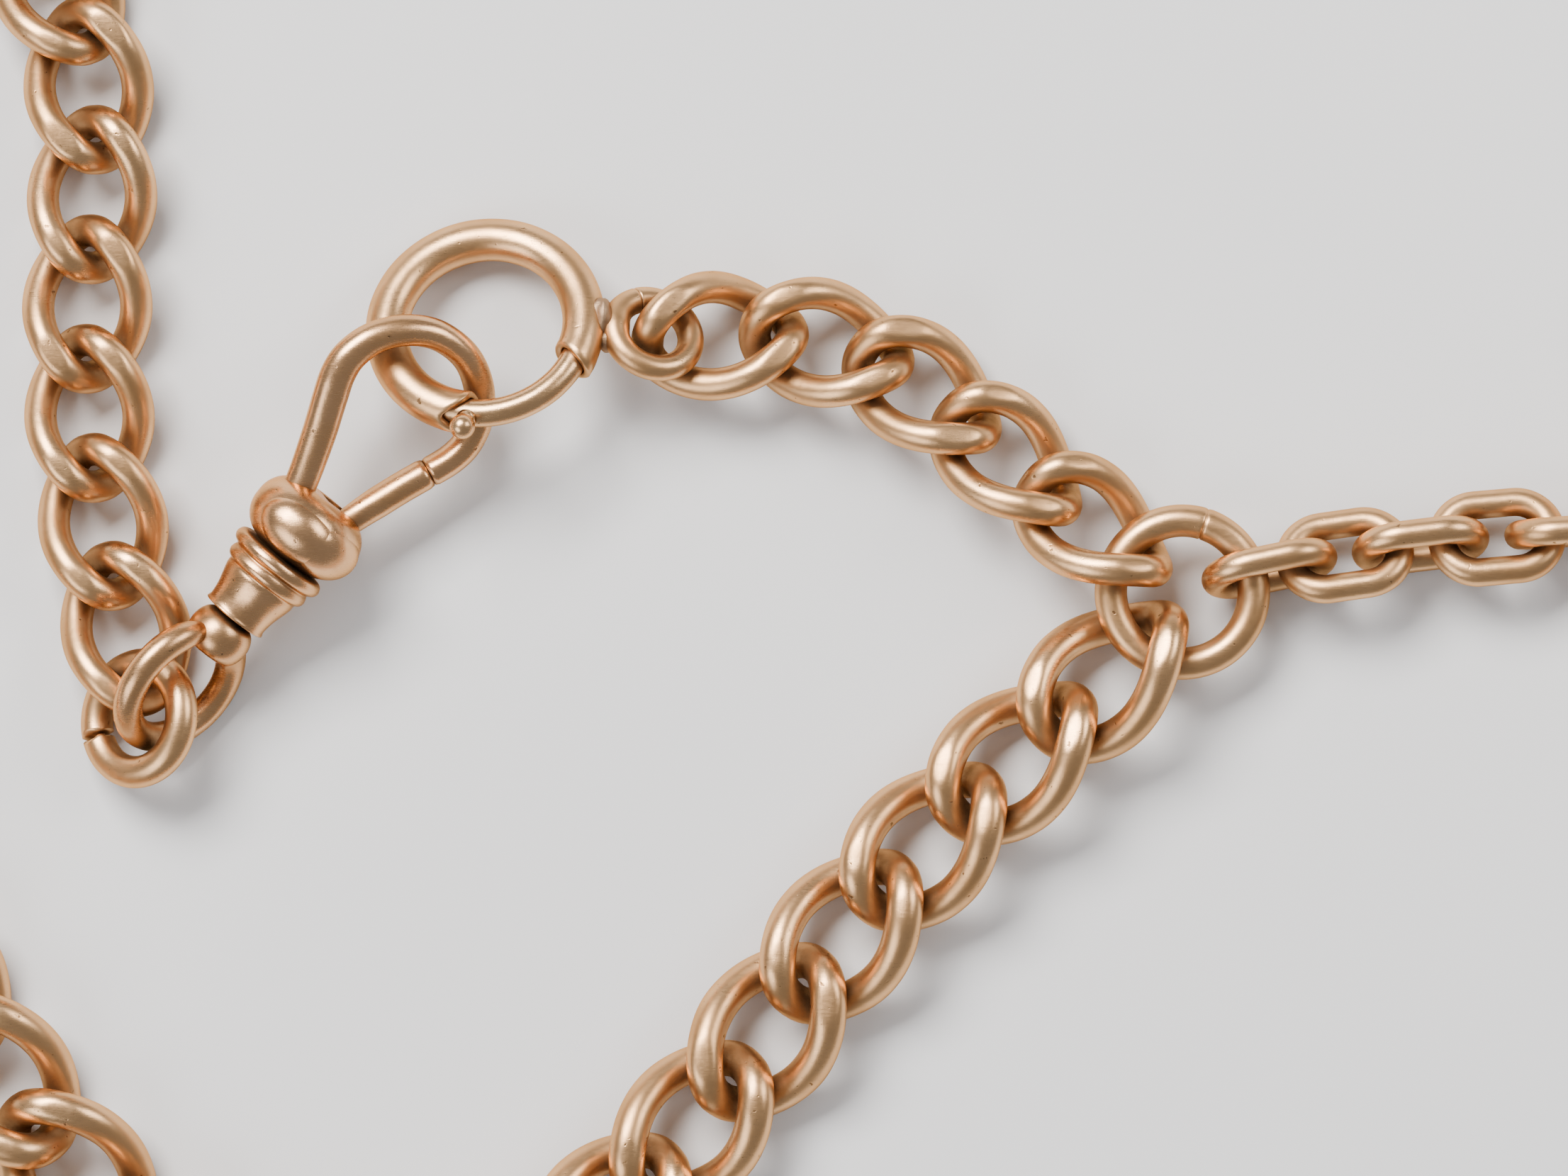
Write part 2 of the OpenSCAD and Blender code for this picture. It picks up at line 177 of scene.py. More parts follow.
# %% The worn gold itself
def worn_gold(name, bright, dull, patina, gloss, reach, darkening, grain=1.0):
    made, nodes, links = new_material(name)
    shader = nodes["Principled BSDF"]
    shader.inputs["Metallic"].default_value = 1.0
    shader.inputs["Specular Tint"].default_value = (0.90, 0.68, 0.47, 1)
    where = nodes.new("ShaderNodeTexCoord").outputs["Object"]

    def cloud(scale, detail, squeeze=(1, 1, 1), roughness=0.55):
        spread = add(nodes, "ShaderNodeMapping")
        spread.inputs["Scale"].default_value = squeeze
        links.new(where, spread.inputs["Vector"])
        made = add(nodes, "ShaderNodeTexNoise", Scale=scale, Detail=detail, Roughness=roughness)
        links.new(spread.outputs[0], made.inputs["Vector"])
        return made.outputs["Fac"]

    handling = cloud(260, 5)
    satin = cloud(5200, 3)
    drawn_one = cloud(2400, 4, (1, 9, 1), 0.7)
    drawn_two = cloud(2100, 4, (8, 1, 1.4), 0.7)
    pits = cloud(2600, 2)

    closed_in = add(nodes, "ShaderNodeAmbientOcclusion", samples=8)
    closed_in.inputs["Distance"].default_value = reach
    crevice = stretch(nodes, links, closed_in.outputs["AO"], 0.2, 0.93, 1.0, 0.0)
    uneven = stretch(nodes, links, cloud(700, 5), 0.3, 0.7, 0.55, 1.25)
    tarnish = times(nodes, links, times(nodes, links, crevice, uneven), darkening)
    pit = stretch(nodes, links, pits, 0.70, 0.76)

    colour = blend_colour(nodes, links, stretch(nodes, links, handling, 0.35, 0.68), bright, dull)
    colour = blend_colour(nodes, links, tarnish, colour, patina)
    colour = blend_colour(nodes, links, times(nodes, links, pit, 0.75), colour, patina)
    links.new(colour, shader.inputs["Base Color"])

    rough = nodes.new("ShaderNodeMath")
    rough.operation = "ADD"
    links.new(stretch(nodes, links, handling, 0.3, 0.7, gloss, gloss + 0.10), rough.inputs[0])
    links.new(times(nodes, links, tarnish, 0.28), rough.inputs[1])
    streaked = nodes.new("ShaderNodeMath")
    streaked.operation = "ADD"
    links.new(rough.outputs[0], streaked.inputs[0])
    links.new(stretch(nodes, links, drawn_one, 0.3, 0.7, -0.05, 0.06), streaked.inputs[1])
    links.new(streaked.outputs[0], shader.inputs["Roughness"])

    below = None
    for height, depth in ((cloud(420, 3), 0.060), (satin, 0.0030 * grain),
                          (drawn_one, 0.0075 * grain), (drawn_two, 0.0065 * grain),
                          (stretch(nodes, links, pits, 0.69, 0.78, 1.0, 0.0), 0.02)):
        bump = add(nodes, "ShaderNodeBump", Strength=0.5)
        bump.inputs["Distance"].default_value = depth * MM
        links.new(height, bump.inputs["Height"])
        if below:
            links.new(below, bump.inputs["Normal"])
        below = bump.outputs[0]
    links.new(below, shader.inputs["Normal"])
    return made


CHAIN_GOLD = worn_gold("chain gold", (0.80, 0.475, 0.235, 1), (0.62, 0.345, 0.155, 1),
                       (0.13, 0.060, 0.026, 1), 0.27, 1.5 * MM, 0.85)
CLIP_GOLD = worn_gold("clip gold", (0.80, 0.465, 0.24, 1), (0.63, 0.345, 0.16, 1),
                      (0.06, 0.034, 0.020, 1), 0.21, 1.3 * MM, 1.0)
TONGUE_GOLD = worn_gold("tongue gold", (0.81, 0.50, 0.26, 1), (0.65, 0.38, 0.185, 1),
                        (0.14, 0.07, 0.035, 1), 0.21, 1.2 * MM, 0.8)
SOLDER = worn_gold("solder", (0.50, 0.33, 0.20, 1), (0.36, 0.23, 0.14, 1),
                   (0.07, 0.04, 0.025, 1), 0.38, 1.2 * MM, 0.9, 3.0)
SPRING_STEEL = worn_gold("spring steel", (0.42, 0.42, 0.43, 1), (0.33, 0.33, 0.34, 1),
                         (0.08, 0.07, 0.06, 1), 0.3, 0.5 * MM, 0.6)
print("metals:", [m.name for m in bpy.data.materials])

# %% [markdown]
# The table is a pale, faintly warm board. A wide soft mottling keeps it from looking like paper.

# %% Table surface
board, board_nodes, board_links = new_material("pale board")
board_shader = board_nodes["Principled BSDF"]
board_shader.inputs["Roughness"].default_value = 0.55
board_shader.inputs["Specular IOR Level"].default_value = 0.25
mottle = add(board_nodes, "ShaderNodeTexNoise", Scale=9, Detail=5, Roughness=0.6)
board_links.new(board_nodes.new("ShaderNodeTexCoord").outputs["Object"], mottle.inputs["Vector"])
board_links.new(
    blend_colour(board_nodes, board_links, stretch(board_nodes, board_links, mottle.outputs["Fac"],
                                                   0.35, 0.65),
                 (0.80, 0.795, 0.80, 1), (0.765, 0.76, 0.77, 1)),
    board_shader.inputs["Base Color"])
table.data.materials.append(board)
print("table surface:", board.name)


# %% [markdown]
# ## Reading a piece's place from the frame
# The frame's solids already lie where they should. The principal axes of a link's corners give its
# length, its width and its thickness, so a new link can be drawn in its own plain axes and then laid
# exactly over the coarse one. A curb link looks the same after half a turn about any of its axes, so
# it doesn't matter which way each axis points.

# %% Own axes of a node
def corners_of(node):
    mesh = frame["nodes"][node].data
    flat = np.zeros(len(mesh.vertices) * 3, np.float32)
    mesh.vertices.foreach_get("co", flat)
    return np.unique(np.round(flat.reshape(-1, 3).astype(float), 7), axis=0)


def spread_of(corners):
    """Directions of least, middle and most spread, as columns."""
    return np.linalg.eigh(np.cov((corners - corners.mean(0)).T))[1]


def own_axes(node):
    corners = corners_of(node)
    middle = corners.mean(0)
    spread = spread_of(corners)
    along, across = spread[:, 2], spread[:, 1]
    axes = np.column_stack([along, across, np.cross(along, across)])
    local = (corners - middle) @ axes
    middle = middle + axes @ ((local.max(0) + local.min(0)) / 2)
    return pose_of(axes, middle), [float(v) for v in local.max(0) - local.min(0)]


def pose_of(axes, middle):
    pose = Matrix([list(row) + [0] for row in axes.tolist()] + [[0, 0, 0, 1]])
    pose.translation = Vector(middle)
    return pose


print("a full link measures", [round(v / MM, 2) for v in own_axes("long_link_4")[1]], "mm")


# %% [markdown]
# ## Wire swept along a line
# Nearly everything here was drawn as wire and bent. One helper sweeps a round section along a line.
# Its radius may change along the line and around it, which is how a worn flat, a solder seam or a
# tapered end is made, as real geometry and not as paint.

# %% Sweeping and finishing helpers
def skin(name, rims, closed):
    """Mesh object from rims of points; an open run is closed with a fan at each end."""
    count, sides = len(rims), len(rims[0])
    points = [p for rim in rims for p in rim]
    faces = []
    for i in range(count if closed else count - 1):
        j = (i + 1) % count
        for k in range(sides):
            m = (k + 1) % sides
            faces.append((i * sides + k, i * sides + m, j * sides + m, j * sides + k))
    if not closed:
        for i, turn in ((0, -1), (count - 1, 1)):
            hub = len(points)
            points.append(sum((Vector(p) for p in rims[i]), Vector()) / sides)
            for k in range(sides):
                m = (k + 1) % sides
                a, b = i * sides + k, i * sides + m
                faces.append((a, b, hub) if turn > 0 else (b, a, hub))
    mesh = bpy.data.meshes.new(name)
    mesh.from_pydata([tuple(p) for p in points], [], faces)
    mesh.polygons.foreach_set("use_smooth", [True] * len(mesh.polygons))
    mesh.update()
    made = bpy.data.objects.new(name, mesh)
    bpy.context.scene.collection.objects.link(made)
    return made


def wire(name, line, outward, radius, closed=True, sides=20):
    """line: points. outward(i, along): a direction off the line. radius(i, angle): metres."""
    count = len(line)
    rims = []
    for i, p in enumerate(line):
        before = line[(i - 1) % count] if closed else line[max(i - 1, 0)]
        after = line[(i + 1) % count] if closed else line[min(i + 1, count - 1)]
        along = (after - before).normalized()
        out = outward(i, along)
        out = (out - along * out.dot(along)).normalized()
        side = along.cross(out)
        rims.append([p + radius(i, a) * (math.cos(a) * out + math.sin(a) * side)
                     for a in (2 * math.pi * k / sides for k in range(sides))])
    return skin(name, rims, closed)


def finish_piece(made, node, metal, pose=None, also=()):
    if pose is not None:
        made.data.transform(pose)
    made.data.materials.append(metal)
    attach(made, body_of[node])
    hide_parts(node, *also)
    return made


print("helpers ready")

# %% [markdown]
# ## Curb links
# A curb link is an oval of wire whose two ends are twisted out of the flat, so that the next link
# can lie down in it. The line below is that oval, and a half turn about any axis brings it back on
# itself. The crests of a chain that has been worn for years are rubbed flat, so the highest part of
# each skin is pressed down, more on some links than on others. The solder seams
# have long been polished away.

# %% One curb link in its own axes
LINK_LENGTH, LINK_WIDTH, LINK_WIRE = 9.9 * MM, 7.2 * MM, 1.8 * MM
TWIST = math.radians(50)
FULLNESS = 0.8
LINK_STEPS, LINK_SIDES = 104, 22
wear = random.Random(11)


def oval_point(t, size):
    half_length = size * (LINK_LENGTH - LINK_WIRE) / 2
    half_width = size * (LINK_WIDTH - LINK_WIRE) / 2
    across = half_width * math.copysign(abs(math.sin(t)) ** FULLNESS, math.sin(t))
    bank = -TWIST * math.cos(t)
    return Vector((half_length * math.cos(t), across * math.cos(bank), across * math.sin(bank)))


def steps_round(count, marks=(), width=0.01):
    """Angles once round, with close extra ones on both sides of each mark."""
    found = [2 * math.pi * i / count for i in range(count)]
    for mark in marks:
        found += [(mark + width * k) % (2 * math.pi) for k in (-2, -1, -0.5, 0, 0.5, 1, 2)]
    return sorted(set(round(t, 6) for t in found))


def curb_link(name, size):
    turns = steps_round(LINK_STEPS)
    line = [oval_point(t, size) for t in turns]
    half_wire = size * LINK_WIRE / 2
    shift = Vector((wear.uniform(-50, 50), wear.uniform(-50, 50), wear.uniform(-50, 50)))

    def radius(i, angle):
        dents = 0.012 * noise.noise(line[i] / (1.6 * MM) + shift)
        return half_wire * (1 + dents)

    return wire(name, line, lambda i, along: line[i], radius, sides=LINK_SIDES)


def rub_flat(made, depth):
    """Press the crests on both faces of a link towards a plane."""
    top = max(abs(v.co.z) for v in made.data.vertices)
    limit = top - depth
    for v in made.data.vertices:
        if abs(v.co.z) > limit:
            v.co.z = math.copysign(limit + 0.22 * (abs(v.co.z) - limit), v.co.z)


# %% Every curb link of the chain
curb_nodes = [n for n in frame["nodes"] if n.startswith(("upper_link", "long_link"))]
curb_nodes.sort(key=lambda n: (n.split("_")[0], int(n.split("_")[-1])))
for node in curb_nodes:
    pose, size = own_axes(node)
    made = curb_link("curb_" + node, size[0] / LINK_LENGTH)
    rub_flat(made, wear.uniform(0.05, 0.20) * MM)
    finish_piece(made, node, CHAIN_GOLD, pose)
print("curb links:", len(curb_nodes), "with", len(made.data.vertices), "points each")


# %% [markdown]
# ## Plain rings
# The centre ring, the ring at the end of the long run and the eye on the bolt ring are wire bent
# round a rod and soldered. Their seams face known ways, so a helper turns a direction on the table
# into an angle on the ring.

# %% Ring helpers
def arc_line(radius, start, end, steps):
    return [Vector((radius * math.cos(t), radius * math.sin(t), 0))
            for t in (start + (end - start) * i / steps for i in range(steps + 1))]


def angle_towards(pose, direction):
    local = pose.to_3x3().inverted() @ Vector(direction)
    return math.atan2(local.y, local.x) % (2 * math.pi)


def apart(a, b):
    """Smallest difference of two angles."""
    return abs((a - b + math.pi) % (2 * math.pi) - math.pi)


def plain_ring(name, radius, wire_width, seam_at, seam_width, seam_depth, rough=0.0, swell=None):
    turns = steps_round(140, [seam_at], seam_width / 2)
    line = [Vector((radius * math.cos(t), radius * math.sin(t), 0)) for t in turns]

    def thickness(i, angle):
        gap = apart(turns[i], seam_at) / seam_width
        edge = 1 + rough * noise.noise(Vector((math.cos(angle), math.sin(angle), 0)) * 1.7)
        dip = seam_depth * math.exp(-(gap / max(edge, 0.3)) ** 4)
        more = swell(turns[i], angle) if swell else 0.0
        dents = 0.010 * noise.noise(line[i] / (1.4 * MM) + Vector((radius * 9000, 0, 0)))
        return wire_width / 2 * (1 + dents) - dip + more

    return wire(name, line, lambda i, along: line[i], thickness, sides=26)


# %% Centre ring and end ring
centre_pose, size = own_axes("centre_ring")
centre_radius = (size[0] - size[2]) / 2
made = plain_ring("ring_centre", centre_radius, size[2], angle_towards(centre_pose, (0.3, 0.95, 0)),
                  0.012, 0.05 * MM)
finish_piece(made, "centre_ring", CHAIN_GOLD, centre_pose)

# The end ring was never soldered: its ends stand a little apart and are nibbled by the cutters
end_pose, size = own_axes("end_ring")
made = plain_ring("ring_end", (size[0] - size[2]) / 2, size[2],
                  angle_towards(end_pose, (-1, -0.25, 0)), 0.045, 0.62 * MM, 0.9)
finish_piece(made, "end_ring", CHAIN_GOLD, end_pose)
print("rings:", round(centre_radius / MM, 2), "mm and", round((size[0] - size[2]) / 2 / MM, 2), "mm")

# %% [markdown]
# ## Trace chain
# Trace links are plain ovals with straight sides, each turned a quarter against the next. Two half
# turns joined by two straight runs keep the ends round, so neighbours can roll in them freely.

# %% Trace links
def stadium(length, width, wire_width, per_turn=30, per_side=8):
    bend = (width - wire_width) / 2
    half = (length - width) / 2
    line = []
    for side in (1, -1):
        line += [Vector((side * (half + bend * math.cos(t)), side * bend * math.sin(t), 0))
                 for t in (-math.pi / 2 + math.pi * i / per_turn for i in range(per_turn + 1))]
        line += [Vector((side * (half - 2 * half * i / per_side), side * bend, 0))
                 for i in range(1, per_side)]
    return line


trace_nodes = sorted(n for n in frame["nodes"] if n.startswith("trace_link"))
for node in trace_nodes:
    pose, size = own_axes(node)
    line = stadium(*size)
    shift = Vector((wear.uniform(-50, 50), 0, 0))

    def radius(i, angle):
        dents = 0.012 * noise.noise(line[i] / (1.3 * MM) + shift)
        return size[2] / 2 * (1 + dents)

    made = wire("trace_" + node, line,
                lambda i, along: along.cross(Vector((0, 0, 1))), radius, sides=22)
    finish_piece(made, node, CHAIN_GOLD, pose)
print("trace links:", trace_nodes)


# %% [markdown]
# ## Turned pieces
# The T-bar, the collar and the body of the clip were turned on a lathe. A profile of distances from
# the axis is spun round; its corners are rounded first, because nothing old has a sharp edge.

# %% Lathe helper
def eased(points, share=0.35, steps=5):
    """The same profile with each inner corner replaced by a short curve."""
    out = [points[0]]
    for before, here, after in zip(points, points[1:], points[2:]):
        a = [here[k] + (before[k] - here[k]) * share for k in (0, 1)]
        b = [here[k] + (after[k] - here[k]) * share for k in (0, 1)]
        for s in (i / steps for i in range(steps + 1)):
            out.append(tuple((1 - s) ** 2 * a[k] + 2 * s * (1 - s) * here[k] + s * s * b[k]
                             for k in (0, 1)))
    return out + [points[-1]]


def turned(name, profile, sides=72):
    """profile: (place along x, distance from x) in millimetres."""
    rims = [[Vector((x * MM, r * MM * math.cos(a), r * MM * math.sin(a)))
             for a in (2 * math.pi * k / sides for k in range(sides))] for x, r in profile]
    return skin(name, rims, False)


def round_end(middle, radius, start, end, steps=14):
    """Profile points on a ball, from angle start to end, both measured from +x, in degrees."""
    return [(middle + radius * math.cos(math.radians(t)), max(radius * math.sin(math.radians(t)), 0.02))
            for t in (start + (end - start) * i / steps for i in range(steps + 1))]


# %% T-bar
bar_corners = corners_of("t_bar")
bar_along = Vector(spread_of(bar_corners)[:, 2])
bar_along.z = 0
bar_along.normalize()
if bar_along.y < 0:
    bar_along.negate()
bar_out = bar_along.cross(Vector((0, 0, 1)))
reach_out = bar_corners @ np.array(bar_out)
reach_along = bar_corners @ np.array(bar_along)
BALL = 3.4
EYE_RADIUS, EYE_WIRE = 1.9, 1.3
half_bar = float(reach_along.max() - reach_along.min()) / 2 / MM
bar_height = float(bar_corners[:, 2].max() + bar_corners[:, 2].min()) / 2
bar_middle = (bar_out * float(reach_out.max() - BALL / 2 * MM)
              + bar_along * float(reach_along.max() + reach_along.min()) / 2)
bar_middle.z = bar_height
bar_pose = pose_of(np.column_stack([bar_along, -bar_out, Vector((0, 0, 1))]), bar_middle)
ball_at = half_bar - BALL / 2
profile = (round_end(-ball_at, BALL / 2, 180, 30)
           + eased([(-ball_at + 1.9, 0.86), (-ball_at + 2.3, 0.85), (-2.2, 1.3), (-1.7, 1.42),
                    (-1.2, 1.3), (0, 1.32), (1.2, 1.3), (1.7, 1.42), (2.2, 1.3),
                    (ball_at - 2.3, 0.85), (ball_at - 1.9, 0.86)])
           + round_end(ball_at, BALL / 2, 150, 0))
made = turned("t_bar_turned", profile)
finish_piece(made, "t_bar", CHAIN_GOLD, bar_pose)
eye_middle = bar_middle - bar_out * (EYE_RADIUS + BALL / 2 - 0.1) * MM
eye_pose = pose_of(np.column_stack([bar_out, bar_along, Vector((0, 0, 1))]), eye_middle)
made = plain_ring("t_bar_eye", EYE_RADIUS * MM, EYE_WIRE * MM, 1.9, 0.014, 0.03 * MM,
                  swell=lambda t, a: 0.18 * MM * math.exp(-(apart(t, 0) / 0.4) ** 2))
made.data.transform(eye_pose)
made.data.materials.append(CHAIN_GOLD)
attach(made, "t_bar")
print("T-bar", round(2 * half_bar, 1), "mm long")

# %% [markdown]
# ## Bolt ring
# A bolt ring is a bent tube with a gap. A solid tongue slides round inside the tube, pushed shut by
# a spring, and a small ball knob pulls it back. The hinge of the tongue gives the ring's middle and
# its axis, and the middle of the tongue tells how far round the gap lies. The tube's two mouths were
# filed by hand, so their edges wander, and the one by the knob has a notch for its neck.

# %% Bolt ring's own axes
slide = joints["tongue_slide"]
TONGUE_FROM, TONGUE_TO = -107.0, 44.0
TUBE_FROM, TUBE_TO = -26.0, 258.0
BOLT_RADIUS = 4.85
TUBE_RADIUS, TONGUE_RADIUS = 1.05, 0.68
bolt_middle = Vector(slide["pos_m"])
bolt_axis = Vector(slide["axis"]).normalized()
tongue_way = Vector(corners_of("bolt_ring_tongue").mean(0)) - bolt_middle
tongue_way -= bolt_axis * tongue_way.dot(bolt_axis)
bolt_x = Matrix.Rotation(-math.radians((TONGUE_FROM + TONGUE_TO) / 2), 3, bolt_axis) @ tongue_way
bolt_x.normalize()
bolt_pose = pose_of(np.column_stack([bolt_x, bolt_axis.cross(bolt_x), bolt_axis]), bolt_middle)
print("bolt ring leans", round(math.degrees(bolt_axis.angle((0, 0, 1)))), "degrees off the table")


# %% Tube, tongue and knob
def bent_rod(name, stations, sides=40):
    """stations: (degrees round the ring, radius, wander) with wander(angle) in degrees."""
    rims = []
    for degrees, radius, wander in stations:
        rim = []
        for k in range(sides):
            a = 2 * math.pi * k / sides
            t = math.radians(degrees + (wander(a) if wander else 0))
            out = Vector((math.cos(t), math.sin(t), 0))
            rim.append((out * (BOLT_RADIUS + radius * math.cos(a))
                        - Vector((0, 0, radius * math.sin(a)))) * MM)
        rims.append(rim)
    return skin(name, rims, False)


def right_mouth(a):
    return 3.2 * math.cos(a - math.radians(215)) + 1.0 * math.sin(2 * a + 0.6)


def knob_mouth(a):
    notch = -2.4 * math.exp(-(apart(a, math.radians(325)) / 0.40) ** 2)
    return 2.2 - 6.6 * math.cos(a + 0.35) + 1.3 * math.sin(3 * a + 1.0) + notch


def fading(mouth, share):
    return lambda a: mouth(a) * share


def tube_radius(degrees):
    """The tube swells a little towards both mouths and is dented where it was held."""
    swell = 0.05 * math.exp(-((degrees - TUBE_FROM) / 7) ** 2)
    swell += 0.03 * math.exp(-((degrees - TUBE_TO) / 7) ** 2)
    return TUBE_RADIUS + swell + 0.008 * noise.noise(Vector((degrees / 13, 4.2, 0)))


stations = [(TUBE_FROM + 9, 0.72, right_mouth), (TUBE_FROM + 0.4, 0.73, right_mouth),
            (TUBE_FROM, 0.78, right_mouth), (TUBE_FROM - 0.2, 0.90, right_mouth),
            (TUBE_FROM, 1.02, right_mouth), (TUBE_FROM + 0.5, 1.08, right_mouth)]
inner = 96
for i in range(1, inner):
    degrees = TUBE_FROM + 1 + (TUBE_TO - TUBE_FROM - 2) * i / inner
    near_start = max(0.0, 1 - (degrees - TUBE_FROM) / 16)
    near_end = max(0.0, 1 - (TUBE_TO - degrees) / 26)
    mouth = fading(right_mouth, near_start) if near_start else (
        fading(knob_mouth, near_end) if near_end else None)
    stations.append((degrees, tube_radius(degrees), mouth))
stations += [(TUBE_TO - 0.5, 1.06, knob_mouth), (TUBE_TO, 1.0, knob_mouth),
             (TUBE_TO + 0.2, 0.90, knob_mouth), (TUBE_TO, 0.78, knob_mouth),
             (TUBE_TO - 0.4, 0.73, knob_mouth), (TUBE_TO - 8, 0.72, knob_mouth)]
made = bent_rod("bolt_ring_tube_skin", stations, 44)
finish_piece(made, "bolt_ring_tube", CHAIN_GOLD, bolt_pose)

# The tongue's tip reaches a little further into the tube's mouth, so no gap shows at the notch
TONGUE_TIP = TONGUE_FROM - 5
TONGUE_STEPS = 70
stations = [(TONGUE_TIP + (TONGUE_TO - TONGUE_TIP) * i / TONGUE_STEPS,
             TONGUE_RADIUS - 0.012 * abs(noise.noise(Vector((i / 6, 0, 1)))), None)
            for i in range(TONGUE_STEPS + 1)]
made = bent_rod("bolt_ring_tongue_rod", stations, 28)
finish_piece(made, "bolt_ring_tongue", TONGUE_GOLD, bolt_pose)

KNOB_AT, KNOB_LEAN = 263.0, 52.0
neck = TONGUE_RADIUS + 0.5
knob = turned("bolt_ring_knob_turned",
              [(0.2, 0.02), (0.2, 0.36), (0.66, 0.36)]
              + eased([(0.7, 0.50), (0.86, 0.37), (neck - 0.1, 0.34), (neck + 0.02, 0.46)])
              + round_end(neck + 0.48, 0.62, 132, 0), 40)
knob_pose = (Matrix.Rotation(math.radians(KNOB_AT), 4, "Z")
             @ Matrix.Translation((BOLT_RADIUS * MM, 0, 0))
             @ Matrix.Rotation(math.radians(KNOB_LEAN - 90), 4, "Y"))
finish_piece(knob, "bolt_ring_knob", TONGUE_GOLD, bolt_pose @ knob_pose)
print("bolt ring", round(2 * (BOLT_RADIUS + TUBE_RADIUS), 1), "mm across")

# %% [markdown]
# The eye of the bolt ring is a jump ring soldered to the tube. The joint was built up with too much
# solder: a rough dark lump in the crook between them.

# %% Eye and its solder
eye_pose, size = own_axes("bolt_ring_eye")
root_way = bolt_middle - eye_pose.translation
root_at = angle_towards(eye_pose, root_way)
made = plain_ring("bolt_ring_eye_wire", (size[0] - size[2]) / 2, size[2],
                  angle_towards(eye_pose, (-0.25, 1, 0)), 0.012, 0.07 * MM,
                  swell=lambda t, a: 0.10 * MM * math.exp(-(apart(t, root_at) / 0.35) ** 2))
finish_piece(made, "bolt_ring_eye", CHAIN_GOLD, eye_pose)


def lump(name, middle, size, seed, metal, body):
    """A rough blob of solder: a ball pushed in and out by noise."""
    bpy.ops.mesh.primitive_ico_sphere_add(subdivisions=4, radius=1)
    made = bpy.context.object
    made.name = name
    for v in made.data.vertices:
        v.co *= 1 + 0.20 * noise.noise(v.co * 1.3 + Vector((seed, 0, 0))) \
            + 0.045 * noise.noise(v.co * 4.0 + Vector((0, seed, 0)))
        v.co = Vector([c * s for c, s in zip(v.co, size)]) * MM
    made.data.polygons.foreach_set("use_smooth", [True] * len(made.data.polygons))
    made.data.transform(Matrix.Translation(middle))
    made.data.materials.append(metal)
    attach(made, body)
    return made


joint_spot = bolt_pose @ Vector(((BOLT_RADIUS + TUBE_RADIUS - 0.12) * MM, 0.15 * MM, 0.22 * MM))
lump("bolt_ring_solder_top", joint_spot, (0.55, 1.00, 0.62), 3.1, SOLDER, "bolt_ring")
joint_spot = bolt_pose @ Vector(((BOLT_RADIUS + TUBE_RADIUS + 0.10) * MM, -0.75 * MM, -0.35 * MM))
lump("bolt_ring_solder_side", joint_spot, (0.60, 0.60, 0.55), 8.4, SOLDER, "bolt_ring")
print("eye wire", round(size[2] / MM, 2), "mm")

# %% [markdown]
# ## Swivel clip
# The clip's axes come from its joints: it spins about its own length, and its gate turns on a pin
# square to that. The hook is one bent wire, thickest in its fixed limb, whose nose stops short. The
# gate closes the gap with a stepped joint and dives into a slot in the round body.

# %% Clip's own axes
clip_x = Vector(joints["swivel_turn"]["axis"]).normalized()
clip_z = Vector(joints["gate_turn"]["axis"]).normalized()
clip_axes = Matrix([clip_x, clip_z.cross(clip_x), clip_z]).transposed()
CROWN_AT, CROWN_RADIUS = 9.2, 3.45
LEG_LEAN = math.radians(15)
PIN_BACK = 0.6
LEG_START = 1.2
leg_top = (CROWN_AT - CROWN_RADIUS * math.sin(LEG_LEAN), CROWN_RADIUS * math.cos(LEG_LEAN))
LEG_LENGTH = (leg_top[0] - LEG_START) / math.cos(LEG_LEAN)


# The pin lies on the line of the gate's leg, a little inside the body
pin_spot = Vector((leg_top[0] - (LEG_LENGTH + PIN_BACK) * math.cos(LEG_LEAN),
                   -(leg_top[1] - (LEG_LENGTH + PIN_BACK) * math.sin(LEG_LEAN)), 0)) * MM
clip_middle = Vector(joints["gate_turn"]["pos_m"]) - clip_axes @ pin_spot
clip_pose = Matrix.Translation(clip_middle) @ clip_axes.to_4x4()
print("clip middle", [round(v / MM, 2) for v in clip_middle])

# %% Hook and gate
# Half of the pear shape: (place along the clip, distance from its axis), in millimetres
HALF_PEAR = [(0.62, 1.24), (2.4, 1.62), (4.8, 2.48), (6.6, 3.24), (7.8, 3.70), (8.9, 3.80),
             (10.2, 3.40), (11.4, 2.38), (12.15, 0.90)]
GATE_FROM, GATE_GAP = 6.55, 0.045


def smooth_through(points, steps=10):
    """A smooth line through all the points (Catmull-Rom)."""
    ends = [2 * points[0] - points[1]] + points + [2 * points[-1] - points[-2]]
    out = []
    for a, b, c, d in zip(ends, ends[1:], ends[2:], ends[3:]):
        out += [b + 0.5 * (k * (c - a) + k * k * (2 * a - 5 * b + 4 * c - d)
                           + k ** 3 * (3 * b - a - 3 * c + d)) for k in (i / steps for i in range(steps))]
    return out + [points[-1]]


half = [Vector((x, y, 0)) for x, y in HALF_PEAR]
pear = smooth_through(half + [Vector((p.x, -p.y, 0)) for p in reversed(half)])
last = max(i for i, p in enumerate(pear) if p.x > GATE_FROM)
share = (pear[last].x - GATE_FROM) / (pear[last].x - pear[last + 1].x)
gate_spot = pear[last].lerp(pear[last + 1], share)
gap_way = (pear[last + 1] - pear[last]).normalized() * GATE_GAP
hook_line = [p * MM for p in pear[:last] if p.x > LEG_START or p.y < 0] + [gate_spot * MM]
gate_line = [(gate_spot + gap_way) * MM] + [p * MM for p in pear[last + 2:]]


def sideways(i, along):
    return along.cross(Vector((0, 0, 1)))


